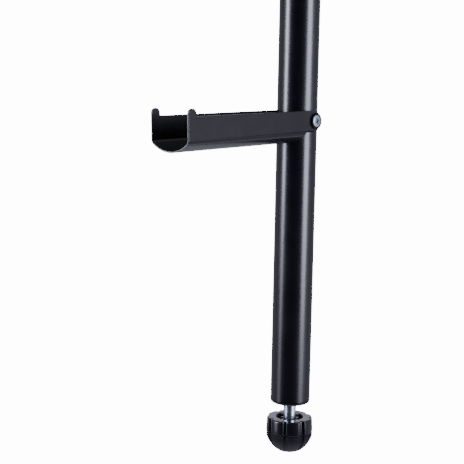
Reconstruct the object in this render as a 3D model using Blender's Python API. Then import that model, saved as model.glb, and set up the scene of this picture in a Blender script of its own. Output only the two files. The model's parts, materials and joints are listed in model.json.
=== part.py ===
"""Lower post of a stand with a fold-out support arm and a screw-in levelling foot.

Metres, +Z up. The origin is where the foot meets the floor, on the post's axis. The arm points along -Y,
and its cross bolt lies along X, with the bolt's head on the +X side.
"""

from math import asin, cos, pi, radians, sin, sqrt

import bmesh
import bpy
from mathutils import Matrix, Vector

# Driving dimensions
MM = 0.001
FIT_GAP = 0.15 * MM  # between pieces that touch face to face
RUNNING_GAP = 0.1 * MM  # between a pin and its bore, on the radius
ROUND_STEPS = 48
SMALL_STEPS = 32

POST_RADIUS = 15.4 * MM
POST_WALL = 1.5 * MM
POST_TOP = 410.0 * MM
PIVOT_HEIGHT = 258.6 * MM

INSERT_BOTTOM = 39.5 * MM
INSERT_FLANGE = 2.5 * MM
INSERT_DEPTH = 24.0 * MM
INSERT_BORE = 5.5 * MM
INSERT_RIB = 0.3 * MM

STUD_RADIUS = 4.9 * MM
STUD_TOP = 77.0 * MM
STUD_NUT_FLATS = 17.0 * MM
STUD_NUT_HEIGHT = 8.0 * MM

KNOB_RADIUS = 18.3 * MM
KNOB_BOTTOM = 16.2 * MM
KNOB_TOP = 27.3 * MM
KNOB_LOBES = 8
KNOB_STEPS = 96  # puts a corner on every lobe and valley of the star and on every corner of a hexagon
KNOB_FIRST_LOBE = radians(3.75)
KNOB_FLUTE_RADIUS = 2.4 * MM
KNOB_FLUTE_OUTSET = 0.3 * MM  # how far outside the star's reach a flute's centre lies
KNOB_SHOULDER = 1.6 * MM  # how softly a flute runs out into the lobes beside it
KNOB_RECESS_RADIUS = 10.4 * MM
KNOB_RECESS_DEPTH = 4.0 * MM
KNOB_NUT_HEIGHT = 5.0 * MM

DOME_TOP = 15.6 * MM
DOME_LAND = 6.0 * MM
DOME_SEAT = 4.0 * MM
DOME_POCKET_RADIUS = 8.0 * MM
SEAT_THICKNESS = 1.2 * MM
COLLAR_RADIUS = 6.4 * MM
COLLAR_HEIGHT = 2.4 * MM
RETAINER_THICKNESS = 1.6 * MM

ARM_LENGTH = 138.4 * MM
ARM_HALF_WIDTH = 17.3 * MM
ARM_DEPTH = 16.3 * MM  # from the cross bolt down to the underside
ARM_SHEET = 1.4 * MM
ARM_BELLY_RADIUS = 26.0 * MM
ARM_CORNER_RADIUS = 4.5 * MM
ARM_TOP = 7.9 * MM
ARM_TIP_SETBACK = 1.2 * MM
ARM_WEB_SETBACK = 11.5 * MM
ARM_STOP_RADIUS = 16.3 * MM
ARM_EAR_TOP = 13.1 * MM
ARM_EAR_LENGTH = 8.0 * MM
ARM_EAR_CORNER = 3.4 * MM
ARM_DROOP = radians(2.1)  # how far the arm lies under level on its stop

BOLT_RADIUS = 3.0 * MM
BOLT_HEAD_RADIUS = 4.6 * MM
BOLT_HEAD_HEIGHT = 1.4 * MM
BOLT_LENGTH = 45.7 * MM
BUSH_RADIUS = 4.2 * MM
HEAD_WASHER_RADIUS = 6.0 * MM
HEAD_WASHER_THICKNESS = 1.3 * MM
HEAD_WASHER_SEAT = 0.8 * MM  # how deep the bolt's head is let into it
NUT_WASHER_RADIUS = 6.0 * MM
NUT_WASHER_THICKNESS = 1.6 * MM
LOCK_NUT_FLATS = 10.0 * MM
LOCK_NUT_HEIGHT = 5.0 * MM
LOCK_NUT_COLLAR = 2.6 * MM
CRUSH_TUBE_RADIUS = 5.0 * MM

# Finishes: colour, metallic, roughness
BLACK_PAINT = ((0.018, 0.018, 0.022), 0.0, 0.35)
BLACK_GLOSS_PLASTIC = ((0.012, 0.012, 0.014), 0.0, 0.18)
BLACK_PLASTIC = ((0.025, 0.025, 0.028), 0.0, 0.5)
BLACK_RUBBER = ((0.03, 0.03, 0.033), 0.0, 0.7)
ZINC = ((0.62, 0.66, 0.72), 1.0, 0.3)
NATURAL_NYLON = ((0.75, 0.74, 0.68), 0.0, 0.45)


def finish_material(name, finish):
    """A Principled material of the piece's own, named after it."""
    colour, metallic, roughness = finish
    material = bpy.data.materials.new(name)
    material.use_nodes = True
    shader = material.node_tree.nodes["Principled BSDF"]
    shader.inputs["Base Color"].default_value = (*colour, 1.0)
    shader.inputs["Metallic"].default_value = metallic
    shader.inputs["Roughness"].default_value = roughness
    return material


def add_object(name, mesh, finish, parent=None, place=Matrix.Identity(4)):
    """A linked object with its material and smooth round faces; place is in its parent's axes."""
    obj = bpy.data.objects.new(name, mesh)
    bpy.context.scene.collection.objects.link(obj)
    mesh.materials.append(finish_material(name, finish))
    mesh.shade_smooth()
    mesh.set_sharp_from_angle(angle=radians(35))
    obj.parent = parent
    obj.matrix_local = place
    return obj


def add_cutter(name, mesh, parent=None, place=Matrix.Identity(4)):
    """A shape that only cuts others."""
    obj = bpy.data.objects.new(name, mesh)
    bpy.context.scene.collection.objects.link(obj)
    obj.hide_render = True
    obj.display_type = "WIRE"
    obj.parent = parent
    obj.matrix_local = place
    return obj


def cut(target, cutter, operation="DIFFERENCE"):
    """A Boolean that stays on the target."""
    modifier = target.modifiers.new(f"{operation} {cutter.name}", "BOOLEAN")
    modifier.operation = operation
    modifier.object = cutter


def arc(centre, radius, start, end, steps):
    """Points on an arc round (u, v), both ends included, in degrees."""
    turns = (radians(start + (end - start) * i / steps) for i in range(steps + 1))
    return [(centre[0] + radius * cos(t), centre[1] + radius * sin(t)) for t in turns]


def lobed(radius, share=1.0):
    """A star grip's outline: the reach at an angle, of broad lobes with a round flute between each two.

    share is how much of the flutes' depth is left, from 1 for the full star to 0 for a circle.
    """
    pitch = 2 * pi / KNOB_LOBES
    flute_centre = KNOB_RADIUS + KNOB_FLUTE_OUTSET

    def reach(angle):
        off = (angle - KNOB_FIRST_LOBE) % pitch - pitch / 2
        aside = flute_centre * abs(sin(off))
        inside = sqrt(max(KNOB_FLUTE_RADIUS**2 - aside**2, 0))
        scoop = flute_centre * cos(off) - inside + 4 * max(aside - KNOB_FLUTE_RADIUS, 0)
        blend = max(1 - abs(KNOB_RADIUS - scoop) / KNOB_SHOULDER, 0)
        star = min(KNOB_RADIUS, scoop) - blend**3 * KNOB_SHOULDER / 6
        return radius * (1 - share * (1 - star / KNOB_RADIUS))

    return reach


def hexagon(flats):
    """A hexagon's outline: the reach at an angle, for the size across its flats."""
    return lambda angle: flats / 2 / cos((angle + pi / 6) % (pi / 3) - pi / 6)


def ring_mesh(name, rings, steps, closed=True):
    """A solid of stacked rings round +Z. Each ring is (reach, height), where reach is a radius or an outline.

    A closed solid's last ring meets its first, as round a bore. An open one is capped at both ends.
    """
    bm = bmesh.new()
    loops = []
    for reach, height in rings:
        turns = [2 * pi * i / steps for i in range(steps)]
        reaches = [reach(t) if callable(reach) else reach for t in turns]
        loops.append([bm.verts.new((r * cos(t), r * sin(t), height)) for r, t in zip(reaches, turns)])
    pairs = list(zip(loops, loops[1:])) + ([(loops[-1], loops[0])] if closed else [])
    for low, high in pairs:
        for i in range(steps):
            j = (i + 1) % steps
            bm.faces.new((low[i], low[j], high[j], high[i]))
    if not closed:
        bm.faces.new(list(reversed(loops[0])))
        bm.faces.new(loops[-1])
    bmesh.ops.recalc_face_normals(bm, faces=bm.faces)
    mesh = bpy.data.meshes.new(name)
    bm.to_mesh(mesh)
    bm.free()
    return mesh


def prism_mesh(name, outline, start, end):
    """An outline of (u, v) points, with u along Y and v along Z, extruded along X from start to end."""
    bm = bmesh.new()
    face = bm.faces.new([bm.verts.new((start, u, v)) for u, v in outline])
    grown = bmesh.ops.extrude_face_region(bm, geom=[face])
    moved = [v for v in grown["geom"] if isinstance(v, bmesh.types.BMVert)]
    bmesh.ops.translate(bm, verts=moved, vec=Vector((end - start, 0, 0)))
    bmesh.ops.recalc_face_normals(bm, faces=bm.faces)
    mesh = bpy.data.meshes.new(name)
    bm.to_mesh(mesh)
    bm.free()
    return mesh


def sleeve_mesh(name, outer, inner, start, end, steps=SMALL_STEPS):
    """A plain ring or sleeve round +Z."""
    rings = [(inner, start), (outer, start), (outer, end), (inner, end)]
    return ring_mesh(name, rings, steps)


def rod_mesh(name, radius, start, end, steps=SMALL_STEPS):
    """A plain round bar along +Z."""
    return ring_mesh(name, [(radius, start), (radius, end)], steps, closed=False)


def along_x(height):
    """Turns a piece made round +Z to lie along +X at a height."""
    return Matrix.Translation((0, 0, height)) @ Matrix.Rotation(pi / 2, 4, "Y")


def make_post():
    """The round steel post, drilled right through for the cross bolt."""
    start = INSERT_BOTTOM + INSERT_FLANGE + FIT_GAP
    end = POST_TOP - INSERT_FLANGE - FIT_GAP
    mesh = sleeve_mesh("post_tube", POST_RADIUS, POST_RADIUS - POST_WALL, start, end, ROUND_STEPS)
    post = add_object("post_tube", mesh, BLACK_PAINT)
    reach = POST_RADIUS + 5 * MM
    drill_mesh = rod_mesh("bolt_drill", BOLT_RADIUS + RUNNING_GAP, -reach, reach)
    cut(post, add_cutter("bolt_drill", drill_mesh, place=along_x(PIVOT_HEIGHT)))


def insert_rings():
    """The turned shape of the moulded plug: a rounded flange, a body with two ribs, and a bore."""
    body = POST_RADIUS - POST_WALL - 2 * INSERT_RIB
    edge = 1.2 * MM
    rings = [(INSERT_BORE, 0), (POST_RADIUS - edge, 0)]
    rings += arc((POST_RADIUS - edge, edge), edge, -60, 0, 2)
    rings += [(POST_RADIUS, INSERT_FLANGE), (body, INSERT_FLANGE)]
    for low in (7.0 * MM, 15.0 * MM):
        high = low + 2.0 * MM
        rings += [(body, low), (body + INSERT_RIB, low), (body + INSERT_RIB, high), (body, high)]
    rings += [(body, INSERT_DEPTH), (INSERT_BORE, INSERT_DEPTH)]
    return rings


def make_insert(name, end_height, upward):
    """A plug in one end of the post, with a hexagon nut held in the pocket of its inner end."""
    place = Matrix.Translation((0, 0, end_height))
    if not upward:
        place = place @ Matrix.Rotation(pi, 4, "X")
    insert = add_object(name, ring_mesh(name, insert_rings(), SMALL_STEPS), BLACK_PLASTIC, place=place)
    nut_start = INSERT_DEPTH - STUD_NUT_HEIGHT
    pocket_outline = hexagon(STUD_NUT_FLATS + 4 * FIT_GAP)
    pocket_rings = [(pocket_outline, nut_start - FIT_GAP), (pocket_outline, INSERT_DEPTH + 5 * MM)]
    pocket = ring_mesh(f"{name}_pocket", pocket_rings, 12, closed=False)
    cut(insert, add_cutter(f"{name}_pocket", pocket, place=place))
    nut = sleeve_mesh(
        f"{name}_nut", hexagon(STUD_NUT_FLATS), STUD_RADIUS + RUNNING_GAP, nut_start, INSERT_DEPTH, 24
    )
    add_object(f"{name}_nut", nut, ZINC, place=place)


def make_arm(pivot):
    """The channel-shaped support arm: a bent sheet with round-ended walls, two ears and a hollowed web."""
    corner_centre = ARM_HALF_WIDTH - ARM_CORNER_RADIUS
    sweep = asin(corner_centre / (ARM_BELLY_RADIUS - ARM_CORNER_RADIUS))
    belly_height = -ARM_DEPTH + ARM_BELLY_RADIUS
    corner_height = belly_height - (ARM_BELLY_RADIUS - ARM_CORNER_RADIUS) * cos(sweep)
    blank_top = ARM_EAR_TOP + 5 * MM

    def half(inset):
        turn = sweep * 180 / pi
        belly = arc((0, belly_height), ARM_BELLY_RADIUS - inset, -90, -90 + turn, 6)
        bend = arc((corner_centre, corner_height), ARM_CORNER_RADIUS - inset, -90 + turn, 0, 5)
        return belly + bend[1:] + [(ARM_HALF_WIDTH - inset, blank_top)]

    outer, inner = half(0), half(ARM_SHEET)
    section = [(-u, v) for u, v in reversed(outer[1:])] + outer
    section += list(reversed(inner)) + [(-u, v) for u, v in inner[1:]]
    blank = prism_mesh("support_arm", section, -30 * MM, ARM_LENGTH + 10 * MM)
    # The section was drawn with its width along Y; a quarter turn lays its length along -Y.
    blank.transform(Matrix.Rotation(-pi / 2, 4, "Z"))
    arm = add_object("support_arm", blank, BLACK_PAINT, parent=pivot)

    free_end = -ARM_LENGTH
    ear_back = free_end + ARM_EAR_LENGTH
    lowest = -ARM_DEPTH - 5 * MM
    fillet = 2.0 * MM
    outline = [(free_end, lowest)]
    ear_centre = ARM_EAR_TOP - ARM_EAR_CORNER
    outline += arc((free_end + ARM_EAR_CORNER, ear_centre), ARM_EAR_CORNER, 180, 90, 4)
    outline += arc((ear_back - ARM_EAR_CORNER, ear_centre), ARM_EAR_CORNER, 90, 0, 4)
    outline += arc((ear_back + fillet / 2, ARM_TOP + fillet / 2), fillet / 2, 180, 270, 2)
    outline += arc((-ARM_TIP_SETBACK, 0), ARM_TOP, 90, -90, 16)
    outline += arc((-ARM_WEB_SETBACK + fillet, -ARM_TOP - fillet), fillet, 90, 180, 4)
    outline += [(-ARM_WEB_SETBACK, lowest)]
    side = prism_mesh("arm_side", outline, -25 * MM, 25 * MM)
    cut(arm, add_cutter("arm_side", side, parent=pivot), "INTERSECT")

    relief = rod_mesh("web_relief", ARM_STOP_RADIUS, lowest, -ARM_TOP - FIT_GAP, ROUND_STEPS)
    cut(arm, add_cutter("web_relief", relief, parent=pivot))
    drill = rod_mesh("bush_drill", BUSH_RADIUS + FIT_GAP, -25 * MM, 25 * MM)
    cut(arm, add_cutter("bush_drill", drill, parent=pivot, place=along_x(0)))


def make_bushes(pivot):
    """Two plain nylon bushes, one in each wall of the arm; their inner ends hold the walls off the post."""
    start = POST_RADIUS + FIT_GAP
    end = ARM_HALF_WIDTH
    bore = BOLT_RADIUS + RUNNING_GAP
    for name, low, high in (("arm_bush_near", start, end), ("arm_bush_far", -end, -start)):
        add_object(name, sleeve_mesh(name, BUSH_RADIUS, bore, low, high), NATURAL_NYLON, pivot, along_x(0))


def make_cross_bolt():
    """The bolt through the post, with its washers, its lock nut and the sleeve that keeps the post round."""
    place = along_x(PIVOT_HEIGHT)
    washer_start = ARM_HALF_WIDTH + FIT_GAP
    washer_end = washer_start + HEAD_WASHER_THICKNESS
    seat = washer_end - HEAD_WASHER_SEAT
    head_start = seat + FIT_GAP
    bore = BOLT_RADIUS + RUNNING_GAP

    head_crown = [(BOLT_HEAD_RADIUS, head_start + 0.7 * MM), (3.9 * MM, head_start + 1.2 * MM)]
    head_crown += [(2.2 * MM, head_start + BOLT_HEAD_HEIGHT), (1.2 * MM, head_start + BOLT_HEAD_HEIGHT)]
    recess = [(0.8 * MM, head_start + 0.5 * MM)]
    shank = [(BOLT_RADIUS, head_start - BOLT_LENGTH), (BOLT_RADIUS, head_start)]
    shank += [(BOLT_HEAD_RADIUS, head_start)]
    bolt = ring_mesh("pivot_bolt", shank + head_crown + recess, SMALL_STEPS, closed=False)
    add_object("pivot_bolt", bolt, ZINC, place=place)

    cup = BOLT_HEAD_RADIUS + FIT_GAP
    washer_rings = [(bore, washer_start), (HEAD_WASHER_RADIUS, washer_start)]
    washer_rings += [(HEAD_WASHER_RADIUS, washer_end), (cup, washer_end), (cup, seat), (bore, seat)]
    washer = ring_mesh("head_washer", washer_rings, SMALL_STEPS)
    add_object("head_washer", washer, BLACK_PLASTIC, place=place)

    nut_washer_end = -washer_start - NUT_WASHER_THICKNESS
    washer = sleeve_mesh("nut_washer", NUT_WASHER_RADIUS, bore, nut_washer_end, -washer_start)
    add_object("nut_washer", washer, ZINC, place=place)

    nut_start = nut_washer_end - FIT_GAP
    nut_end = nut_start - LOCK_NUT_HEIGHT
    collar = LOCK_NUT_FLATS / 2 - 0.4 * MM
    ring_seat = BOLT_RADIUS + 0.9 * MM
    lip = ring_seat - 0.3 * MM
    top = nut_end - LOCK_NUT_COLLAR
    flats = hexagon(LOCK_NUT_FLATS)
    nut_rings = [(bore, nut_end), (bore, nut_start), (flats, nut_start), (flats, nut_end), (collar, nut_end)]
    nut_rings += [(collar, top + 0.8 * MM), (collar - 0.8 * MM, top), (lip, top), (lip, top + 0.4 * MM)]
    nut_rings += [(ring_seat, top + 0.4 * MM), (ring_seat, nut_end)]
    add_object("lock_nut", ring_mesh("lock_nut", nut_rings, 24), ZINC, place=place)
    ring = sleeve_mesh(
        "lock_nut_ring", ring_seat - FIT_GAP, bore, top + 0.4 * MM + FIT_GAP, nut_end - FIT_GAP, 24
    )
    add_object("lock_nut_ring", ring, NATURAL_NYLON, place=place)

    # The sleeve's flat ends stop where the post's inner wall curves in front of them.
    inner_radius = POST_RADIUS - POST_WALL
    half_length = sqrt(inner_radius**2 - CRUSH_TUBE_RADIUS**2) - FIT_GAP
    sleeve = sleeve_mesh("crush_tube", CRUSH_TUBE_RADIUS, bore, -half_length, half_length)
    add_object("crush_tube", sleeve, ZINC, place=place)


def make_stud_and_knob(turner):
    """The threaded stud and the star knob moulded round its lower end, with the nut that joins them."""
    collar_start = DOME_SEAT + SEAT_THICKNESS + 2 * FIT_GAP
    collar_end = collar_start + COLLAR_HEIGHT
    point = 1.0 * MM
    stud_rings = [(COLLAR_RADIUS, collar_start), (COLLAR_RADIUS, collar_end), (STUD_RADIUS, collar_end)]
    stud_rings += [(STUD_RADIUS, STUD_TOP - point), (STUD_RADIUS - point, STUD_TOP)]
    stud = ring_mesh("levelling_stud", stud_rings, SMALL_STEPS, closed=False)
    add_object("levelling_stud", stud, ZINC, parent=turner)

    bore = STUD_RADIUS + RUNNING_GAP
    nut_pocket = hexagon(STUD_NUT_FLATS + 2 * FIT_GAP)
    nut_top = KNOB_BOTTOM + 0.3 * MM + KNOB_NUT_HEIGHT
    edge = 1.2 * MM
    floor = KNOB_TOP - KNOB_RECESS_DEPTH
    rings = [(nut_pocket, KNOB_BOTTOM), (lobed(KNOB_RADIUS - edge / 3), KNOB_BOTTOM)]
    rings += [(lobed(KNOB_RADIUS), KNOB_BOTTOM + edge / 2), (lobed(KNOB_RADIUS - edge / 4), KNOB_TOP - edge)]
    rings += [(lobed(KNOB_RADIUS - edge), KNOB_TOP), (KNOB_RECESS_RADIUS + edge / 2, KNOB_TOP)]
    rings += [(KNOB_RECESS_RADIUS, KNOB_TOP - edge / 2), (KNOB_RECESS_RADIUS - edge / 2, floor)]
    rings += [(bore, floor), (bore, nut_top + FIT_GAP), (nut_pocket, nut_top + FIT_GAP)]
    knob = ring_mesh("star_knob", rings, KNOB_STEPS)
    add_object("star_knob", knob, BLACK_GLOSS_PLASTIC, parent=turner)

    nut = sleeve_mesh("knob_nut", hexagon(STUD_NUT_FLATS), bore, nut_top - KNOB_NUT_HEIGHT, nut_top, 24)
    add_object("knob_nut", nut, ZINC, parent=turner)


def make_dome(slider):
    """The rubber dome that stands on the floor, with the seat and the washer that hold the stud's collar."""
    rim = KNOB_RADIUS - 0.2 * MM
    profile = [(1.0, DOME_TOP, 1.0), (1.0, 13.4 * MM, 1.0), (0.965, 10.8 * MM, 0.9), (0.87, 7.6 * MM, 0.8)]
    profile += [(0.735, 4.4 * MM, 0.6), (0.58, 1.9 * MM, 0.4), (0.44, 0.5 * MM, 0.2)]
    pocket = DOME_POCKET_RADIUS
    rings = [(pocket, DOME_SEAT), (pocket, DOME_TOP - 0.4 * MM), (pocket + 0.4 * MM, DOME_TOP)]
    rings += [(lobed(rim * share, depth), height) for share, height, depth in profile]
    rings += [(DOME_LAND, 0)]
    dome = ring_mesh("dome_foot", rings, KNOB_STEPS, closed=False)
    add_object("dome_foot", dome, BLACK_RUBBER, parent=slider)

    seat_start = DOME_SEAT + FIT_GAP
    seat_end = seat_start + SEAT_THICKNESS
    seat = rod_mesh("seat_disc", pocket - FIT_GAP, seat_start, seat_end)
    add_object("seat_disc", seat, ZINC, parent=slider)
    low = seat_end + COLLAR_HEIGHT + 2 * FIT_GAP
    high = low + RETAINER_THICKNESS
    bore = STUD_RADIUS + 2 * RUNNING_GAP
    retainer = sleeve_mesh("stud_retainer", pocket - FIT_GAP, bore, low, high)
    add_object("stud_retainer", retainer, ZINC, parent=slider)


def add_axis(name, location, parent=None, rotation=(0, 0, 0)):
    """An empty on a joint's axis, which the moving pieces hang on."""
    empty = bpy.data.objects.new(name, None)
    bpy.context.scene.collection.objects.link(empty)
    empty.parent = parent
    empty.location = location
    empty.rotation_euler = rotation
    return empty


for old in list(bpy.data.objects):
    bpy.data.objects.remove(old)

arm_pivot = add_axis("arm_pivot_axis", (0, 0, PIVOT_HEIGHT), rotation=(ARM_DROOP, 0, 0))
foot_slider = add_axis("foot_travel_axis", (0, 0, 0))
foot_turner = add_axis("foot_turn_axis", (0, 0, 0), parent=foot_slider)

make_post()
make_insert("foot_insert", INSERT_BOTTOM, upward=True)
make_insert("top_insert", POST_TOP, upward=False)
make_arm(arm_pivot)
make_bushes(arm_pivot)
make_cross_bolt()
make_stud_and_knob(foot_turner)
make_dome(foot_slider)
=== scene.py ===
import json
from math import asin, cos, degrees, pi, radians, sin, sqrt, tan

import bmesh
import bpy
from mathutils import Matrix, Vector


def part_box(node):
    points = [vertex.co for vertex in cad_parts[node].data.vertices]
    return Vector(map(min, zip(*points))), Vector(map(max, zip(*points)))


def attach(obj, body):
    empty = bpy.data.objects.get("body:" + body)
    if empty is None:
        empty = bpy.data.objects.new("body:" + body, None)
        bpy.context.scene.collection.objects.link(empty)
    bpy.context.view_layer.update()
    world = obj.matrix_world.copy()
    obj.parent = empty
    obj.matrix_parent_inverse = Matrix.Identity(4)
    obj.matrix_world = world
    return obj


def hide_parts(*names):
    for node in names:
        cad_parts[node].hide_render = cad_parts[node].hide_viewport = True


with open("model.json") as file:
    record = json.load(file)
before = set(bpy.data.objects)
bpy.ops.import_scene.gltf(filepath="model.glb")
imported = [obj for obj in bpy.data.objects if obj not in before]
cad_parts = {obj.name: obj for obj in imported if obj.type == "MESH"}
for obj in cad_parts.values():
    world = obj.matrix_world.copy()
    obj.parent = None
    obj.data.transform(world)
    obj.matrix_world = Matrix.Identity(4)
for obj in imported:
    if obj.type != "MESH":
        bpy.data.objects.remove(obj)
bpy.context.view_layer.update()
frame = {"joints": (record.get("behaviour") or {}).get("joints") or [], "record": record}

# ---------------------------------------------------------------------------------------------
# Camera. It stands level with the support arm's pivot, on the side where the arm's free end and
# the cross bolt's head both show, and looks slightly down the post.
# ---------------------------------------------------------------------------------------------
lens = bpy.data.cameras.new("camera")
lens.sensor_width = 36.0
lens.lens = 77.487
camera = bpy.data.objects.new("camera", lens)
camera.location = (0.45978, -0.60963, 0.26920)
camera.rotation_euler = (radians(82.7721), radians(-0.9822), radians(40.7371))
bpy.context.scene.collection.objects.link(camera)
bpy.context.scene.camera = camera

# ---------------------------------------------------------------------------------------------
# Studio. A white sweep with a pale floor, lit from behind and below by the sweep itself and from
# the front by two tall, narrow, slightly violet soft boxes that draw the bright lines on the post.
# ---------------------------------------------------------------------------------------------


WHITE = 14.0  # radiance that shows as clean white


class Wire:
    """An output in a node tree. Sums on it add the Math nodes that work them out."""

    def __init__(self, web, socket):
        self.web, self.socket = web, socket

    def maths(self, operation, *others):
        sockets = dict(enumerate((self, *others)))
        return self.web.node("ShaderNodeMath", {"operation": operation}, sockets)

    def __add__(self, other):
        return self.maths("ADD", other)

    __radd__ = __add__

    def __sub__(self, other):
        return self.maths("SUBTRACT", other)

    def __rsub__(self, other):
        return self.web.node("ShaderNodeMath", {"operation": "SUBTRACT"}, {0: other, 1: self})

    def __mul__(self, other):
        return self.maths("MULTIPLY", other)

    __rmul__ = __mul__

    def __truediv__(self, other):
        return self.maths("DIVIDE", other)

    def __rtruediv__(self, other):
        return self.web.node("ShaderNodeMath", {"operation": "DIVIDE"}, {0: other, 1: self})

    def __pow__(self, other):
        return self.maths("POWER", other)

    def between(self, low, high):
        """0 at low, 1 at high, smooth in between and level beyond them."""
        settings = {"interpolation_type": "SMOOTHSTEP"}
        sockets = {"Value": self, "From Min": low, "From Max": high}
        return self.web.node("ShaderNodeMapRange", settings, sockets)


class Web:
    """A node tree, with one way to add any node to it."""

    def __init__(self, tree):
        self.tree = tree

    def node(self, kind, settings=None, sockets=None, out=0):
        """Adds a node, makes its settings and feeds its sockets; hands back one of its outputs, if any."""
        made = self.tree.nodes.new(kind)
        for name, value in (settings or {}).items():
            setattr(made, name, value)
        for name, value in (sockets or {}).items():
            if isinstance(value, Wire):
                self.tree.links.new(value.socket, made.inputs[name])
            else:
                made.inputs[name].default_value = value
        return Wire(self, made.outputs[out]) if made.outputs else None


def lit_world():
    """White to the camera; to the object, bright behind, beside and underneath, and black in front."""
    world = bpy.data.worlds.new("sweep")
    world.use_nodes = True
    world.node_tree.nodes.clear()
    web = Web(world.node_tree)
    bpy.context.scene.world = world
    direction = web.node("ShaderNodeTexCoord", out="Generated")

    def toward(x, y, z):
        return web.node(
            "ShaderNodeVectorMath", {"operation": "DOT_PRODUCT"}, {0: direction, 1: (x, y, z)}, out="Value"
        )

    around = 0.44 * (1 - toward(0.53, -0.848, 0.0).between(0.45, 0.75))
    beside = toward(0.866, 0.5, 0.0).between(0.89, 0.97) * 0.45
    behind = toward(-0.57, 0.76, 0.3).between(0.75, 1.0)
    below = toward(0.0, 0.0, -1.0).between(0.5, 0.9) * 2.1
    everywhere = 0.01
    violet_grey = (0.84, 0.83, 1.0)
    strength = around + beside + behind + below + everywhere
    glow = web.node("ShaderNodeVectorMath", {"operation": "SCALE"}, {0: violet_grey, "Scale": strength})
    seen = web.node("ShaderNodeLightPath", out="Is Camera Ray")
    shown = (WHITE, WHITE, WHITE, 1.0)
    colour = web.node("ShaderNodeMix", {"data_type": "RGBA"}, {0: seen, 6: glow, 7: shown}, out=2)
    background = web.node("ShaderNodeBackground", {}, {"Color": colour})
    web.node("ShaderNodeOutputWorld", {}, {"Surface": background})


def soft_box(name, heading, width, radiance, fade):
    """A tall, slightly violet strip light that stands at a heading, faces the post and fades downwards.

    fade is its share of full strength at the foot, the height up to which it has that share, and the
    height from which it is at full strength.
    """
    distance, low, high = 2.0, -0.7, 1.3
    light = bpy.data.lights.new(name, "AREA")
    light.shape = "RECTANGLE"
    light.size = width
    light.size_y = high - low
    light.color = (0.79, 0.80, 1.0)
    light.energy = radiance * pi * width * (high - low)
    light.use_nodes = True
    web = Web(light.node_tree)
    web.tree.nodes.clear()
    spot = web.node("ShaderNodeNewGeometry", out="Position")
    height = web.node("ShaderNodeSeparateXYZ", {}, {0: spot}, out="Z")
    dimmest, dim_height, full_height = fade
    strength = height.between(dim_height, full_height) * (1 - dimmest) + dimmest
    glow = web.node("ShaderNodeEmission", {}, {"Strength": strength})
    web.node("ShaderNodeOutputLight", {}, {"Surface": glow})
    box = bpy.data.objects.new(name, light)
    bpy.context.scene.collection.objects.link(box)
    toward = Vector((sin(radians(heading)), -cos(radians(heading)), 0))
    box.location = toward * distance + Vector((0, 0, (low + high) / 2))
    box.rotation_euler = toward.to_track_quat("Z", "Y").to_euler()
    box.visible_camera = False


FLOOR_RADIUS = 3.0


def pale_floor():
    """A flat white disc under the foot; it shows white and gives the object no mirror of itself."""
    bm = bmesh.new()
    bmesh.ops.create_circle(bm, cap_ends=True, segments=64, radius=FLOOR_RADIUS)
    mesh = bpy.data.meshes.new("floor")
    bm.to_mesh(mesh)
    bm.free()
    floor = bpy.data.objects.new("floor", mesh)
    bpy.context.scene.collection.objects.link(floor)
    material = bpy.data.materials.new("floor_white")
    material.use_nodes = True
    material.node_tree.nodes.clear()
    web = Web(material.node_tree)
    seen = web.node("ShaderNodeLightPath", out="Is Camera Ray")
    paint = web.node("ShaderNodeBsdfDiffuse", {}, {"Color": (0.8, 0.8, 0.82, 1.0)})
    glow = web.node("ShaderNodeEmission", {}, {"Color": (1.0, 1.0, 1.0, 1.0), "Strength": WHITE})
    surface = web.node("ShaderNodeMixShader", {}, {0: seen, 1: paint, 2: glow})
    web.node("ShaderNodeOutputMaterial", {}, {"Surface": surface})
    mesh.materials.append(material)
    floor.visible_shadow = False
    floor.visible_glossy = False
    floor.visible_diffuse = False


lit_world()
soft_box("left_strip", heading=-33.0, width=0.53, radiance=32.0, fade=(0.09, -0.33, 0.35))
soft_box("right_strip", heading=99.0, width=0.89, radiance=19.5, fade=(0.14, -0.55, 0.1))
pale_floor()

# ---------------------------------------------------------------------------------------------
# Post. A drawn steel tube, cut square, drilled right through for the cross bolt and powder
# coated satin black.
# ---------------------------------------------------------------------------------------------
MM = 0.001
NO_TURN = Matrix.Identity(4)


class Finish(Web):
    """A material: its main shader, the values it has all over, and the nodes that vary it."""

    def __init__(self, name, **everywhere):
        self.material = bpy.data.materials.new(name)
        self.material.use_nodes = True
        super().__init__(self.material.node_tree)
        self.shader = self.tree.nodes["Principled BSDF"]
        for socket, value in everywhere.items():
            self.shader.inputs[socket.replace("_", " ")].default_value = value

    def feed(self, socket, wire):
        self.tree.links.new(wire.socket, self.shader.inputs[socket])

    def place(self):
        return self.node("ShaderNodeTexCoord", out="Object")

    def specks(self, size, detail=2.0, stretch=(1.0, 1.0, 1.0)):
        """Cloudy noise from 0 to 1, whose clouds are about size across."""
        place = self.node("ShaderNodeMapping", {}, {"Vector": self.place(), "Scale": stretch})
        return self.node("ShaderNodeTexNoise", {}, {"Vector": place, "Scale": 1 / size, "Detail": detail})

    def mixed(self, share, first, second):
        """One colour turning into another."""
        return self.node(
            "ShaderNodeMix", {"data_type": "RGBA"}, {0: share, 6: (*first, 1.0), 7: (*second, 1.0)}, out=2
        )

    def bumps(self, height, distance, strength=1.0):
        wire = self.node("ShaderNodeBump", {}, {"Height": height, "Distance": distance, "Strength": strength})
        self.feed("Normal", wire)


def powder_coat(name):
    """Satin black powder coat, faintly violet, with a fine orange peel and a few duller patches."""
    coat = Finish(name, IOR=1.5)
    patches = coat.specks(30 * MM, 3.0)
    coat.feed("Base Color", coat.mixed(patches, (0.0016, 0.0016, 0.0024), (0.0028, 0.0028, 0.004)))
    coat.feed("Roughness", patches.between(0.3, 0.8) * 0.06 + 0.25)
    coat.bumps(coat.specks(1.6 * MM), 0.01 * MM, 0.06)
    return coat.material


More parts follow.
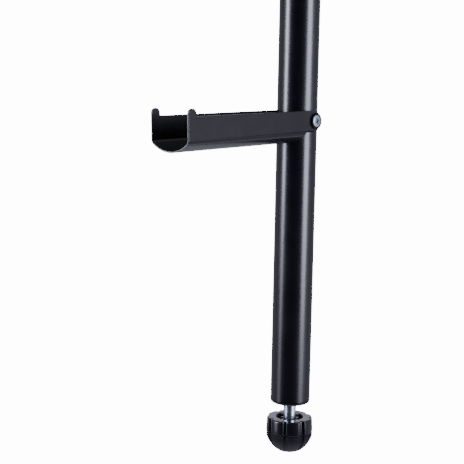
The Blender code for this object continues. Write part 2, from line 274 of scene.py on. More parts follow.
def dressed(name, mesh, material, smooth_under=35.0):
    """A linked object with its material, smooth wherever its faces meet at less than an angle."""
    obj = bpy.data.objects.new(name, mesh)
    bpy.context.scene.collection.objects.link(obj)
    mesh.materials.clear()
    mesh.materials.append(material)
    mesh.shade_smooth()
    mesh.set_sharp_from_angle(angle=radians(smooth_under))
    return obj


def turned(name, rings, steps, place=NO_TURN, closed=True):
    """The mesh of a turned piece: stacked rings round +Z, each (reach, height), then put in place.

    A reach is a radius, or an outline that gives the reach at an angle. A closed piece's last ring
    meets its first, as round a bore; an open one is capped at both ends.
    """
    bm = bmesh.new()
    turns = [2 * pi * i / steps for i in range(steps)]
    loops = []
    for reach, height in rings:
        reaches = [reach(t) if callable(reach) else reach for t in turns]
        loops.append([bm.verts.new((r * cos(t), r * sin(t), height)) for r, t in zip(reaches, turns)])
    pairs = list(zip(loops, loops[1:])) + ([(loops[-1], loops[0])] if closed else [])
    for low, high in pairs:
        for i in range(steps):
            j = (i + 1) % steps
            bm.faces.new((low[i], low[j], high[j], high[i]))
    if not closed:
        bm.faces.new(list(reversed(loops[0])))
        bm.faces.new(loops[-1])
    bmesh.ops.recalc_face_normals(bm, faces=bm.faces)
    bm.transform(place)
    mesh = bpy.data.meshes.new(name)
    bm.to_mesh(mesh)
    bm.free()
    return mesh


def rounded(centre, radius, start, end, steps=5):
    """Points of a rounded edge, an arc round (reach, height) between two angles in degrees."""
    turns = [radians(start + (end - start) * i / steps) for i in range(steps + 1)]
    return [(centre[0] + radius * cos(t), centre[1] + radius * sin(t)) for t in turns]


def cut_away(mesh, drill, material, way="DIFFERENCE"):
    """The mesh with the drill's mesh taken out of it, or only what lies inside both."""
    blank, tool = dressed("blank", mesh, material), dressed("tool", drill, material)
    modifier = blank.modifiers.new("cut", "BOOLEAN")
    modifier.operation, modifier.object = way, tool
    result = bpy.data.meshes.new_from_object(blank.evaluated_get(bpy.context.evaluated_depsgraph_get()))
    for used in (blank, tool):
        bpy.data.objects.remove(used)
    return result


post_low, post_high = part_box("post_tube")
post_radius = post_high.x
post_wall = 1.5 * MM
post_bore = post_radius - post_wall
pivot_height = [joint["pos_m"][2] for joint in frame["joints"] if joint["name"] == "arm_fold"][0]
bolt_hole = 3.1 * MM
ACROSS = Matrix.Translation((0, 0, pivot_height)) @ Matrix.Rotation(pi / 2, 4, "Y")

burr = 0.25 * MM
tube_rings = [(post_bore + burr, post_low.z), (post_radius - burr, post_low.z)]
tube_rings += [(post_radius, post_low.z + burr), (post_radius, post_high.z - burr)]
tube_rings += [(post_radius - burr, post_high.z), (post_bore + burr, post_high.z)]
tube_rings += [(post_bore, post_high.z - burr), (post_bore, post_low.z + burr)]
past_post = 2 * post_radius
drill = turned("drill", [(bolt_hole, -past_post), (bolt_hole, past_post)], 48, ACROSS, closed=False)
post_coat = powder_coat("post_coat")
post = dressed("post", cut_away(turned("post", tube_rings, 160), drill, post_coat), post_coat)
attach(post, "post")
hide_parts("post_tube")


# ---------------------------------------------------------------------------------------------
# Plugs. One in each end of the post, moulded in black plastic with two gripping ribs, pressed in
# up to a rounded flange; a hexagon nut sits in the pocket of each one's inner end.
# ---------------------------------------------------------------------------------------------
gap = 0.15 * MM  # between pieces that touch face to face


def moulded_plastic(name, colour, roughness, shine=0.5, grain=0.35 * MM):
    """Black moulded plastic with the fine spark grain of its mould and slight flow marks.

    shine is how strongly its skin mirrors: 0.5 for a clean one, less for a dusty one.
    """
    plastic = Finish(name, IOR=1.46, Specular_IOR_Level=shine)
    flow = plastic.specks(9 * MM, 3.0, (1.0, 1.0, 0.35))
    lighter = tuple(1.5 * c for c in colour)
    plastic.feed("Base Color", plastic.mixed(flow.between(0.35, 0.75), colour, lighter))
    plastic.feed("Roughness", flow.between(0.3, 0.8) * 0.08 + roughness)
    plastic.bumps(plastic.specks(grain), 0.01 * MM, 0.5)
    return plastic.material


def hexagon(flats, widest=None):
    """A hexagon's outline for the size across its flats, its corners cut back to a widest reach."""

    def reach(angle):
        flat = flats / 2 / cos((angle + pi / 6) % (pi / 3) - pi / 6)
        return min(flat, widest) if widest else flat

    return reach


def hex_nut(name, flats, bore, low, high, place=NO_TURN, chamfer_low=True, chamfer_high=True):
    """A nut with its corners turned off at 30 degrees and its thread's mouths countersunk."""
    face = flats / 2 * 0.96
    corner = flats / sqrt(3)
    drop = (corner - face) * tan(radians(30))
    steps = [i / 5 for i in range(6)]
    mouth = 0.5 * MM
    rings = [(bore, low + mouth), (bore + mouth, low)]
    if chamfer_low:
        rings += [(hexagon(flats, face + (corner - face) * t), low + drop * t) for t in steps]
    else:
        rings += [(hexagon(flats), low)]
    if chamfer_high:
        rings += [(hexagon(flats, face + (corner - face) * t), high - drop * t) for t in reversed(steps)]
    else:
        rings += [(hexagon(flats), high)]
    rings += [(bore + mouth, high), (bore, high - mouth)]
    return turned(name, rings, 96, place)


def zinc_plate(name, brightness=1.0, roughness=0.24):
    """Bright blue-white zinc plating over turned steel: fine tool rings and a cloudy passivation."""
    zinc = Finish(name, Metallic=1.0)
    cloud = zinc.specks(4 * MM, 3.0)
    bright = tuple(brightness * c for c in (0.74, 0.84, 0.91))
    dull = tuple(brightness * c for c in (0.52, 0.63, 0.71))
    zinc.feed("Base Color", zinc.mixed(cloud.between(0.4, 0.75), bright, dull))
    zinc.feed("Roughness", cloud * 0.1 + roughness)
    zinc.bumps(zinc.specks(0.5 * MM, 2.0, (0.3, 0.3, 3.0)), 0.01 * MM, 0.3)
    return zinc.material


def stands_in(piece, body, node):
    """The piece moves with a body and shows in place of that body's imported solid."""
    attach(piece, body)
    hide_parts(node)
    return piece


plug_plastic = moulded_plastic("plug_plastic_black", (0.003, 0.003, 0.004), 0.12)
thread_bore = 5.0 * MM
plug_bore = 5.5 * MM
bore_edge = 0.5 * MM
flange = 2.5 * MM
flange_edge = 1.7 * MM
flange_lip = 0.1 * MM
rib = 0.3 * MM
rib_starts = (7.0 * MM, 15.0 * MM)
lead_in = 0.6 * MM
snug = post_bore - 2 * rib
nut_flats = 17.0 * MM
for end, node in (("lower", "foot_insert"), ("upper", "top_insert")):
    low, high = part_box(node)
    depth = high.z - low.z
    outward = Matrix.Translation((0, 0, low.z))
    if end == "upper":
        outward = Matrix.Translation((0, 0, high.z)) @ Matrix.Rotation(pi, 4, "X")
    plug_rings = [(plug_bore, bore_edge), (plug_bore + bore_edge, 0), (post_radius - flange_edge, 0)]
    plug_rings += rounded((post_radius - flange_edge, flange_edge), flange_edge, -75, 0)
    plug_rings += [(post_radius, flange - flange_lip), (post_radius - flange_lip, flange), (snug, flange)]
    for start in rib_starts:
        plug_rings += [(snug, start), (snug + rib, start + rib), (snug + rib, start + 5 * rib)]
        plug_rings += [(snug, start + 6 * rib)]
    nut_low, nut_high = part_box(node + "_nut")
    nut_height = nut_high.z - nut_low.z
    pocket = hexagon(nut_flats + 4 * gap)
    pocket_floor = depth - nut_height - gap
    plug_rings += [(snug, depth - lead_in), (snug - lead_in, depth), (pocket, depth)]
    plug_rings += [(pocket, pocket_floor), (plug_bore, pocket_floor)]
    plug = dressed(f"{end}_plug", turned(f"{end}_plug", plug_rings, 144, outward), plug_plastic)
    stands_in(plug, "post", node)
    nut_mesh = hex_nut(f"{end}_plug_nut", nut_flats, thread_bore, depth - nut_height, depth, outward)
    nut = dressed(f"{end}_plug_nut", nut_mesh, zinc_plate(f"{end}_nut_zinc"))
    stands_in(nut, "post", node + "_nut")

# ---------------------------------------------------------------------------------------------
# Stud. Turned from steel bar and zinc plated: a collar that turns in the foot, a plain shank,
# and a rolled M10 thread that screws into the nut of the lower plug.
# ---------------------------------------------------------------------------------------------


class Shaping(Web):
    """A Geometry Nodes tree that takes a blank in and gives the finished, painted shape out."""

    def __init__(self, name, sizes):
        super().__init__(bpy.data.node_groups.new(name, "GeometryNodeTree"))
        sockets = self.tree.interface
        sockets.new_socket("Blank", in_out="INPUT", socket_type="NodeSocketGeometry")
        for size, kind in sizes.items():
            sockets.new_socket(size, in_out="INPUT", socket_type=kind)
        sockets.new_socket("Shape", in_out="OUTPUT", socket_type="NodeSocketGeometry")
        self.given = self.tree.nodes.new("NodeGroupInput")

    def size(self, name):
        return Wire(self, self.given.outputs[name])

    def finish(self, shape):
        real = self.node("GeometryNodeRealizeInstances", {}, {0: shape})
        painted = self.node(
            "GeometryNodeSetMaterial", {}, {"Geometry": real, "Material": self.size("Material")}
        )
        self.node("NodeGroupOutput", {}, {"Shape": painted})

    def point(self):
        """Where each point of the blank is: its reach from +Z, its turn round it and its height."""
        spot = self.node("GeometryNodeInputPosition")
        x, y, z = (self.node("ShaderNodeSeparateXYZ", {}, {0: spot}, out=axis) for axis in "XYZ")
        reach = (x * x + y * y) ** 0.5
        return spot, reach, y.maths("ARCTAN2", x), z

    def scaled_round(self, share):
        """The blank with each point's reach multiplied by a share."""
        spot, _, _, z = self.point()
        moved = self.node("ShaderNodeVectorMath", {"operation": "SCALE"}, {0: spot, "Scale": share})
        x, y = (self.node("ShaderNodeSeparateXYZ", {}, {0: moved}, out=axis) for axis in "XY")
        new_spot = self.node("ShaderNodeCombineXYZ", {}, {0: x, 1: y, 2: z})
        sockets = {"Geometry": self.size("Blank"), "Position": new_spot}
        return self.node("GeometryNodeSetPosition", {}, sockets)


def shaped(name, blank, shaping, given, place=NO_TURN):
    """The plain mesh that a shaping makes of a blank, in its place."""
    obj = bpy.data.objects.new(name, blank)
    bpy.context.scene.collection.objects.link(obj)
    modifier = obj.modifiers.new(name, "NODES")
    modifier.node_group = shaping.tree
    for socket in shaping.tree.interface.items_tree:
        if socket.in_out == "INPUT" and socket.name in given:
            modifier[socket.identifier] = given[socket.name]
    mesh = bpy.data.meshes.new_from_object(obj.evaluated_get(bpy.context.evaluated_depsgraph_get()))
    bpy.data.objects.remove(obj)
    mesh.transform(place)
    return mesh


def thread_shaping():
    """Cuts one helical groove into a round bar: flat crests, sloped flanks, fading at each end."""
    floats = {size: "NodeSocketFloat" for size in ("Pitch", "Depth", "Radius", "Start", "End")}
    rolled = Shaping("rolled_thread", {**floats, "Material": "NodeSocketMaterial"})
    _, reach, turn, z = rolled.point()
    pitch = rolled.size("Pitch")
    along = (z / pitch - turn / (2 * pi)).maths("FRACT")
    from_groove = (along - 0.5).maths("ABSOLUTE") * 2
    flank = from_groove.maths("MULTIPLY_ADD", 1.35, -0.18)
    groove = 1 - flank.maths("MAXIMUM", 0.0).maths("MINIMUM", 1.0)
    begins = z.between(rolled.size("Start"), rolled.size("Start") + pitch * 1.5)
    ends = 1 - z.between(rolled.size("End") - pitch, rolled.size("End"))
    outside = reach.maths("GREATER_THAN", rolled.size("Radius") - 0.05 * MM)
    cut = groove * begins * ends * outside * rolled.size("Depth")
    rolled.finish(rolled.scaled_round(1 - cut / rolled.size("Radius")))
    return rolled


thread = thread_shaping()
foot_low, foot_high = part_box("levelling_stud")
stud_radius = 4.9 * MM
collar_radius = foot_high.x
collar_height = 2.4 * MM
collar_top = foot_low.z + collar_height
thread_start = 41.5 * MM
coarse = 1.5 * MM
point = 1.0 * MM
edge = 0.3 * MM
bars = [(collar_radius - edge, foot_low.z), (collar_radius, foot_low.z + edge)]
bars += [(collar_radius, collar_top - edge), (collar_radius - edge, collar_top), (stud_radius, collar_top)]
thread_end = foot_high.z - point
rings_a_turn = 10
thread_rings = int((thread_end - thread_start) / coarse * rings_a_turn)
for i in range(thread_rings + 1):
    bars.append((stud_radius, thread_start + (thread_end - thread_start) * i / thread_rings))
bars.append((stud_radius - point, foot_high.z))
stud_zinc = zinc_plate("stud_zinc")
stud_sizes = {"Pitch": coarse, "Depth": 0.5 * coarse, "Radius": stud_radius, "Start": thread_start}
stud_sizes |= {"End": thread_end, "Material": stud_zinc}
stud_mesh = shaped("stud", turned("stud", bars, 64, closed=False), thread, stud_sizes)
stands_in(dressed("stud", stud_mesh, stud_zinc), "foot_screw", "levelling_stud")

# ---------------------------------------------------------------------------------------------
# Star knob. Moulded black plastic with eight broad lobes, round flutes between them and a dished
# top; the nut let into its underside fixes it to the stud.
# ---------------------------------------------------------------------------------------------


def star_shaping():
    """Turns a round blank into a star grip: flutes with rounded shoulders, none within a still reach."""
    floats = ("Reach", "Still Reach", "Lobes", "First Lobe", "Flute", "Flute Centre", "Shoulder")
    kinds = {size: "NodeSocketFloat" for size in floats}
    star = Shaping("star_grip", {**kinds, "Material": "NodeSocketMaterial"})
    _, reach, turn, _ = star.point()
    pitch = 2 * pi / star.size("Lobes")
    off = (turn - star.size("First Lobe")).maths("FLOORED_MODULO", pitch) - pitch / 2
    aside = star.size("Flute Centre") * off.maths("SINE").maths("ABSOLUTE")
    ahead = star.size("Flute Centre") * off.maths("COSINE")
    flute, outer = star.size("Flute"), star.size("Reach")
    inside = (flute * flute - aside * aside).maths("MAXIMUM", 0.0) ** 0.5
    steepness = 4.0
    scoop = ahead - inside + (aside - flute).maths("MAXIMUM", 0.0) * steepness
    edge_of_star = star.node(
        "ShaderNodeMath", {"operation": "SMOOTH_MIN"}, {0: outer, 1: scoop, 2: star.size("Shoulder")}
    )
    still = star.size("Still Reach")
    share = ((reach - still) / (outer - still)).maths("MAXIMUM", 0.0).maths("MINIMUM", 1.0)
    star.finish(star.scaled_round(1 - share * (1 - edge_of_star / outer)))
    return star


star = star_shaping()
knob_low, knob_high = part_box("star_knob")
knob_reach = 18.3 * MM
top_draft = 0.5 * MM
knob_top_reach = knob_reach - top_draft
knob_steps = 384
recess_reach = 10.4 * MM
recess_floor = knob_high.z - 4.0 * MM
nut_low, nut_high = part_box("knob_nut")
nut_ceiling = nut_high.z + gap
knob_pocket = hexagon(nut_flats + 2 * gap)
lip = 1.2 * MM
foot_edge = 0.5 * MM
recess_lip = 0.8 * MM
recess_fillet = 1.0 * MM
boss_rise = 0.8 * MM
knob_rings = [(knob_pocket, knob_low.z), (knob_reach - foot_edge, knob_low.z)]
knob_rings += rounded((knob_reach - foot_edge, knob_low.z + foot_edge), foot_edge, -60, 0, 3)
knob_rings += rounded((knob_top_reach - lip, knob_high.z - lip), lip, 3, 90, 6)
knob_rings += [(recess_reach + recess_lip, knob_high.z)]
knob_rings += rounded((recess_reach + recess_lip, knob_high.z - recess_lip), recess_lip, 100, 175, 4)
fillet_centre = (recess_reach - recess_fillet, recess_floor + recess_fillet)
knob_rings += rounded(fillet_centre, recess_fillet, 0, -90, 4)
knob_rings += [(7.6 * MM, recess_floor), (7.2 * MM, recess_floor + boss_rise)]
knob_rings += [(6.4 * MM, recess_floor + boss_rise), (thread_bore, recess_floor + boss_rise / 2)]
knob_rings += [(thread_bore, nut_ceiling), (knob_pocket, nut_ceiling)]
knob_plastic = moulded_plastic("knob_plastic_black", (0.0035, 0.0035, 0.0045), 0.16)
grip = {"Reach": knob_reach, "Still Reach": recess_reach + 1.5 * MM, "Lobes": 8.0}
grip |= {"First Lobe": radians(3.75), "Flute": 2.4 * MM, "Flute Centre": knob_reach + 0.3 * MM}
grip |= {"Shoulder": 1.6 * MM, "Material": knob_plastic}
knob_mesh = shaped("knob", turned("knob", knob_rings, knob_steps), star, grip)
stands_in(dressed("knob", knob_mesh, knob_plastic), "foot_screw", "star_knob")

knob_nut = hex_nut("knob_nut_zinc", nut_flats, thread_bore, nut_low.z, nut_high.z)
knob_nut = dressed("knob_hex_nut", knob_nut, zinc_plate("knob_nut_zinc"))
stands_in(knob_nut, "foot_screw", "knob_nut")

# ---------------------------------------------------------------------------------------------
# Foot. A solid rubber dome, ribbed in line with the knob, with a steel seat disc in its pocket
# and a pressed-in washer above the stud's collar, which lets the stud turn but not pull out.
# ---------------------------------------------------------------------------------------------


def black_rubber(name):
    """Matt moulded rubber with a dusty bloom and a fine grain."""
    rubber = Finish(name, IOR=1.45, Specular_IOR_Level=0.12)
    bloom = rubber.specks(6 * MM, 4.0)
    bare, dusty = (0.0042, 0.004, 0.0055), (0.0075, 0.0072, 0.0095)
    rubber.feed("Base Color", rubber.mixed(bloom.between(0.35, 0.75), bare, dusty))
    rubber.feed("Roughness", bloom * 0.15 + 0.5)
    rubber.bumps(rubber.specks(0.45 * MM, 3.0), 0.03 * MM, 0.6)
    return rubber.material


rubber = black_rubber("dome_rubber_black")
dome_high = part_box("dome_foot")[1]
under_knob = 0.2 * MM
dome_reach = knob_reach - under_knob
seat_low, seat_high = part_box("seat_disc")
land = 6.0 * MM
dome_pocket = 8.0 * MM
pocket_mouth = 0.4 * MM


def dome_rings():
    """The dome's outline from its rim down to the flat it stands on: a curve through a few spots."""
    outline = [(1.0, 15.6), (1.0, 13.4), (0.965, 10.8), (0.87, 7.6), (0.735, 4.4), (0.58, 1.9), (0.44, 0.5)]
    spots = [Vector((share * dome_reach, height * MM)) for share, height in outline]
    spots.append(Vector((land, 0)))
    rim, steps, lowest_ring = 0.5 * MM, 6, 0.02 * MM
    rings = [(dome_reach - rim, dome_high.z)]
    rings += rounded((dome_reach - rim, dome_high.z - rim), rim, 75, 0, 3)
    for k in range(1, len(spots) - 1):
        before, here, after = spots[k - 1 : k + 2]
        beyond = spots[min(k + 2, len(spots) - 1)]
        for i in range(steps):
            t = i / steps
            bend = (2 * before - 5 * here + 4 * after - beyond) * t**2
            sway = (3 * here - before - 3 * after + beyond) * t**3
            spot = (2 * here + (after - before) * t + bend + sway) / 2
            rings.append((spot.x, max(spot.y, lowest_ring)))
    return rings + [(land, 0)]


inner = [(dome_pocket, seat_low.z), (dome_pocket, dome_high.z - pocket_mouth)]
inner += [(dome_pocket + pocket_mouth, dome_high.z)]
dome_blank = turned("dome", inner + dome_rings(), knob_steps, closed=False)
dome_grip = grip | {"Reach": dome_reach, "Still Reach": land, "Material": rubber}
dome_mesh = shaped("dome", dome_blank, star, dome_grip)
stands_in(dressed("dome", dome_mesh, rubber, 50.0), "foot_pad", "dome_foot")

chip = 0.2 * MM
disc_rings = [(seat_high.x - chip, seat_low.z), (seat_high.x, seat_low.z + chip)]
disc_rings += [(seat_high.x, seat_high.z - chip), (seat_high.x - chip, seat_high.z)]
disc = dressed("seat", turned("seat", disc_rings, 64, closed=False), zinc_plate("seat_zinc", 0.9))
stands_in(disc, "foot_pad", "seat_disc")

washer_low, washer_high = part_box("stud_retainer")
running_gap = 0.2 * MM
retainer_bore = stud_radius + running_gap
bore_chip = 0.3 * MM
retainer_rings = [(retainer_bore, washer_low.z), (washer_high.x - chip, washer_low.z)]
retainer_rings += [(washer_high.x, washer_low.z + chip), (washer_high.x, washer_high.z - chip)]
retainer_rings += [(washer_high.x - chip, washer_high.z), (retainer_bore + bore_chip, washer_high.z)]
retainer_rings += [(retainer_bore, washer_high.z - bore_chip)]
retainer = dressed("retainer", turned("retainer", retainer_rings, 96), zinc_plate("retainer_zinc", 0.9))
stands_in(retainer, "foot_pad", "stud_retainer")

# ---------------------------------------------------------------------------------------------
# Support arm. A channel bent from 1.4 mm sheet steel, round underneath, with two ears at its free
# end, its web cut short to clear the post and its cut edges tumbled round; powder coated.
# ---------------------------------------------------------------------------------------------
sheet = 1.4 * MM
arm_reach = 17.3 * MM
arm_depth = 16.3 * MM
belly_radius = 26.0 * MM
bend_radius = 4.5 * MM
wall_top = 7.9 * MM
free_end = -138.4 * MM
hinge_end = -1.2 * MM
web_end = -11.5 * MM
web_relief = 16.3 * MM
ear_top = 13.1 * MM
ear_length = 8.0 * MM
ear_corner = 3.4 * MM
web_corner = 2.0 * MM
bush_hole = 4.35 * MM
cut_edge = 0.57 * MM
spare = 5 * MM  # how far the bent blank reaches past what is cut from it, up and down
lowest = -arm_depth - spare
blank_start, blank_end = free_end - 10 * MM, 30 * MM
past_walls = 25 * MM  # how far to each side the cutters reach

top_edge = [m for m in frame["record"]["mounts"] if m["name"] == "arm_top_edge"][0]
droop = asin(-top_edge["axis"][1])
ARM_PLACE = Matrix.Translation((0, 0, pivot_height)) @ Matrix.Rotation(droop, 4, "X")


def bar_along(axis, outline, start, end):
    """The mesh of a bar with a given outline, drawn out along X or along Y."""
    bm = bmesh.new()
    if axis == "Y":
        corners = [(u, start, v) for u, v in outline]
        drawn = Vector((0, end - start, 0))
    else:
        corners = [(start, u, v) for u, v in outline]
        drawn = Vector((end - start, 0, 0))
    face = bm.faces.new([bm.verts.new(corner) for corner in corners])
    grown = bmesh.ops.extrude_face_region(bm, geom=[face])
    moved = [v for v in grown["geom"] if isinstance(v, bmesh.types.BMVert)]
    bmesh.ops.translate(bm, verts=moved, vec=drawn)
    bmesh.ops.recalc_face_normals(bm, faces=bm.faces)
    mesh = bpy.data.meshes.new("bar")
    bm.to_mesh(mesh)
    bm.free()
    return mesh


def channel_section():
    """The bent sheet's outline across the arm: up one wall's outside, round and back inside."""
    aside = arm_reach - bend_radius
    sweep = asin(aside / (belly_radius - bend_radius))
    belly_height = belly_radius - arm_depth
    bend_height = belly_height - (belly_radius - bend_radius) * cos(sweep)
    blank_top = ear_top + spare

    def half(depth):
        way = degrees(sweep)
        belly = rounded((0, belly_height), belly_radius - depth, -90, way - 90, 16)
        bend = rounded((aside, bend_height), bend_radius - depth, way - 90, 0, 14)
        return belly + bend[1:] + [(arm_reach - depth, blank_top)]

    outside, hollow = half(0), half(sheet)
    section = [(-x, z) for x, z in reversed(outside[1:])] + outside
    return section + list(reversed(hollow)) + [(-x, z) for x, z in hollow[1:]]


def side_outline():
    """What is left of the channel seen from the side: ears, top edge, round end and short web."""
    ear_back = free_end + ear_length
    ear_centre = ear_top - ear_corner
    fillet = 1.0 * MM
    outline = [(free_end, lowest)]
    outline += rounded((free_end + ear_corner, ear_centre), ear_corner, 180, 90, 8)
    outline += rounded((ear_back - ear_corner, ear_centre), ear_corner, 90, 0, 8)
    outline += rounded((ear_back + fillet, wall_top + fillet), fillet, 180, 270, 5)
    outline += rounded((hinge_end, 0), wall_top, 90, -90, 40)
    outline += rounded((web_end + web_corner, -wall_top - web_corner), web_corner, 90, 180, 8)
    return outline + [(web_end, lowest)]


arm_coat = powder_coat("arm_coat")
blank = bar_along("Y", channel_section(), blank_start, blank_end)
trimmer = bar_along("X", side_outline(), -past_walls, past_walls)
relief_rings = [(web_relief, lowest), (web_relief, -wall_top - gap)]
relief = turned("relief", relief_rings, 96, closed=False)
LYING = Matrix.Rotation(pi / 2, 4, "Y")
drill_rings = [(bush_hole, -past_walls), (bush_hole, past_walls)]
bush_drill = turned("bush_drill", drill_rings, 64, LYING, closed=False)
arm_mesh = cut_away(blank, trimmer, arm_coat, "INTERSECT")
arm_mesh = cut_away(arm_mesh, relief, arm_coat)
arm_mesh = cut_away(arm_mesh, bush_drill, arm_coat)
arm = dressed("arm", arm_mesh, arm_coat)
softened = arm.modifiers.new("cut_edges", "BEVEL")
softened.width = cut_edge
softened.segments = 4
softened.limit_method = "ANGLE"
softened.angle_limit = radians(50)
softened.use_clamp_overlap = False
softened.harden_normals = True
arm_mesh = bpy.data.meshes.new_from_object(arm.evaluated_get(bpy.context.evaluated_depsgraph_get()))
bpy.data.objects.remove(arm)
arm_mesh.transform(ARM_PLACE)
arm = bpy.data.objects.new("arm", arm_mesh)
bpy.context.scene.collection.objects.link(arm)
stands_in(arm, "arm", "support_arm")

# ---------------------------------------------------------------------------------------------
# Cross bolt. An M6 zinc-plated bolt through both walls of the arm and the post: a low head with a
# cross recess seated in a black cup washer, and a plain washer and a nylon-ringed lock nut.
# ---------------------------------------------------------------------------------------------
bolt_low, bolt_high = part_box("pivot_bolt")
bolt_radius = 3.0 * MM
cup_low, cup_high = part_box("head_washer")
cup_radius = cup_high.z - pivot_height
cup_seat = cup_high.x - 0.8 * MM
cup_face = cup_high.x + 0.15 * MM
cup_lip = 0.1 * MM
head_radius = 4.35 * MM
head_under = cup_seat + gap
head_side = 0.75 * MM
head_face = bolt_high.x - 0.35 * MM
fine = 1.0 * MM

head_rings = [(bolt_radius, head_under), (head_radius - gap, head_under)]
head_rings += [(head_radius, head_under + gap), (head_radius, head_under + head_side)]
crown = head_face - head_under - head_side
for t in range(10, 86, 8):
    head_rings.append((head_radius * cos(radians(t)), head_face - crown + crown * sin(radians(t))))
shank_end = bolt_low.x
shank_chamfer = 0.8 * MM
shank_rings = [(bolt_radius - shank_chamfer, shank_end), (bolt_radius, shank_end + shank_chamfer)]
thread_length = 16 * MM
fine_rings = 144
for i in range(1, fine_rings + 1):
    shank_rings.append((bolt_radius, shank_end + shank_chamfer + thread_length * i / fine_rings))
bolt_zinc = zinc_plate("bolt_zinc", 0.7)
bolt_sizes = {"Pitch": fine, "Depth": 0.5 * fine, "Radius": bolt_radius, "Material": bolt_zinc}
bolt_sizes |= {"Start": shank_end + 0.2 * fine, "End": shank_end + thread_length}
bolt_blank = turned("bolt", shank_rings + head_rings, 48, closed=False)
bolt_mesh = shaped("bolt", bolt_blank, thread, bolt_sizes)
slot_half = 0.75 * MM
slot_reach = 2.7 * MM
slot_depth = 2.0 * MM
slot_taper = 0.6
slot_turn = radians(20)
arm_of_cross = [(slot_half, slot_half), (slot_reach, slot_half), (slot_reach, -slot_half)]
cross_outline = []
for quarter in range(4):
    turn = -quarter * pi / 2
    for u, v in arm_of_cross:
        cross_outline.append((u * cos(turn) - v * sin(turn), u * sin(turn) + v * cos(turn)))


def cross_driver(name, outline, top, bottom, taper):
    """The tapered cross of a screwdriver's tip, wide at the top."""
    bm = bmesh.new()
    upper = [bm.verts.new((u, v, top)) for u, v in outline]
    lower = [bm.verts.new((u * taper, v * taper, bottom)) for u, v in outline]
    bm.faces.new(upper)
    bm.faces.new(list(reversed(lower)))
    for i in range(len(outline)):
        j = (i + 1) % len(outline)
        bm.faces.new((upper[i], upper[j], lower[j], lower[i]))
    bmesh.ops.recalc_face_normals(bm, faces=bm.faces)
    mesh = bpy.data.meshes.new(name)
    bm.to_mesh(mesh)
    bm.free()
    return mesh


driver = cross_driver("driver", cross_outline, head_face + 0.5 * MM, head_face - slot_depth, slot_taper)
driver.transform(Matrix.Rotation(slot_turn, 4, "Z"))
bolt_mesh = cut_away(bolt_mesh, driver, bolt_zinc)
bolt_mesh.transform(ACROSS)
stands_in(dressed("bolt", bolt_mesh, bolt_zinc, 40.0), "post", "pivot_bolt")

washer_plastic = moulded_plastic("washer_plastic_black", (0.002, 0.002, 0.0025), 0.5, 0.1)
cup_start, cup_edge = cup_low.x, 0.4 * MM
cup_bore = head_radius + gap
cup_rings = [(bolt_hole, cup_start), (cup_radius - chip, cup_start), (cup_radius, cup_start + chip)]
cup_rings += rounded((cup_radius - cup_edge, cup_face - cup_edge), cup_edge, 0, 90, 4)
cup_rings += [(cup_bore, cup_face - cup_lip), (cup_bore, cup_seat), (bolt_hole, cup_seat)]
cup = dressed("cup_washer", turned("cup_washer", cup_rings, 96, ACROSS), washer_plastic)
stands_in(cup, "post", "head_washer")

plain_low, plain_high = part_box("nut_washer")
plain_reach = plain_high.z - pivot_height
plain_rings = [(bolt_hole, plain_low.x), (plain_reach - chip, plain_low.x)]
plain_rings += [(plain_reach, plain_low.x + chip), (plain_reach, plain_high.x), (bolt_hole, plain_high.x)]
plain_mesh = turned("plain_washer", plain_rings, 96, ACROSS)
plain = dressed("plain_washer", plain_mesh, zinc_plate("washer_zinc"))
stands_in(plain, "post", "nut_washer")

lock_low, lock_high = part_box("lock_nut")
ring_low, ring_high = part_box("lock_nut_ring")
lock_flats = 10.0 * MM
lock_face = lock_flats / 2 * 0.97
lock_corner = lock_flats / sqrt(3)
lock_drop = (lock_corner - lock_face) * tan(radians(30))
shoulder = lock_low.x + 2.6 * MM
ring_seat = bolt_radius + 0.9 * MM
crimp_reach = ring_seat - 0.3 * MM
crimp = lock_low.x + 0.4 * MM
skirt = lock_flats / 2 - 0.35 * MM
skirt_round = 1.0 * MM
countersink = 0.3 * MM
chamfer = []
for i in range(6):
    chamfer.append((hexagon(lock_flats, lock_face + (lock_corner - lock_face) * i / 5), lock_drop * i / 5))
lock_rings = [(bolt_hole, lock_high.x - countersink), (bolt_hole + countersink, lock_high.x)]
lock_rings += [(reach, lock_high.x - drop) for reach, drop in chamfer]
lock_rings += [(reach, shoulder + drop) for reach, drop in reversed(chamfer)]
lock_rings += [(skirt, shoulder)]
lock_rings += rounded((skirt - skirt_round, lock_low.x + skirt_round), skirt_round, 0, -90, 6)
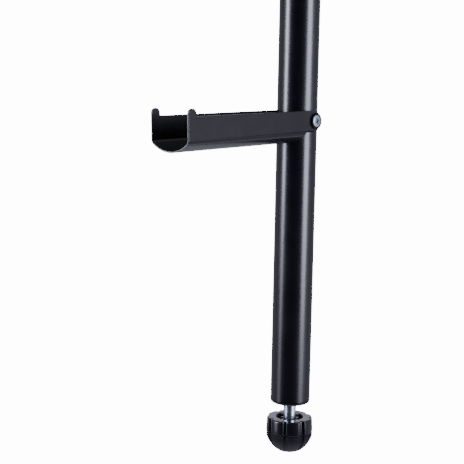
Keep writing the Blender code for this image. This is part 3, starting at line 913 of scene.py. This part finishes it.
lock_rings += [(crimp_reach, lock_low.x), (crimp_reach, crimp)]
lock_rings += [(ring_seat, crimp), (ring_seat, shoulder), (bolt_hole, shoulder)]
lock_mesh = turned("lock_nut_body", lock_rings, 96, ACROSS)
lock_nut = dressed("lock_nut_body", lock_mesh, zinc_plate("lock_nut_zinc"))
stands_in(lock_nut, "post", "lock_nut")


def natural_nylon(name):
    """Unpigmented nylon: milky, faintly uneven, smooth."""
    nylon = Finish(name, IOR=1.53)
    cloud = nylon.specks(3 * MM, 3.0)
    nylon.feed("Base Color", nylon.mixed(cloud, (0.78, 0.77, 0.70), (0.66, 0.65, 0.57)))
    nylon.feed("Roughness", cloud * 0.15 + 0.35)
    nylon.bumps(nylon.specks(0.4 * MM), 0.01 * MM, 0.3)
    return nylon.material


nylon = natural_nylon("nylon_natural")
ring_reach = ring_seat - gap
nylon_rings = [(bolt_hole, ring_low.x), (ring_reach, ring_low.x)]
nylon_rings += [(ring_reach, ring_high.x), (bolt_hole, ring_high.x)]
nylon_ring = dressed("lock_ring", turned("lock_ring", nylon_rings, 64, ACROSS), nylon)
stands_in(nylon_ring, "post", "lock_nut_ring")

bush_chip = 0.25 * MM
for node in ("arm_bush_near", "arm_bush_far"):
    low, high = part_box(node)
    reach = high.z - pivot_height
    bush_rings = [(bolt_hole, low.x), (reach - bush_chip, low.x), (reach, low.x + bush_chip)]
    bush_rings += [(reach, high.x - bush_chip), (reach - bush_chip, high.x), (bolt_hole, high.x)]
    bush = dressed(node + "_sleeve", turned(node + "_sleeve", bush_rings, 64, ACROSS), nylon)
    stands_in(bush, "arm", node)

tube_low, tube_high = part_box("crush_tube")
tube_reach = tube_high.z - pivot_height
sleeve_rings = [(bolt_hole, tube_low.x), (tube_reach, tube_low.x)]
sleeve_rings += [(tube_reach, tube_high.x), (bolt_hole, tube_high.x)]
sleeve = dressed("spacer", turned("spacer", sleeve_rings, 64, ACROSS), zinc_plate("spacer_zinc", 0.9))
stands_in(sleeve, "post", "crush_tube")

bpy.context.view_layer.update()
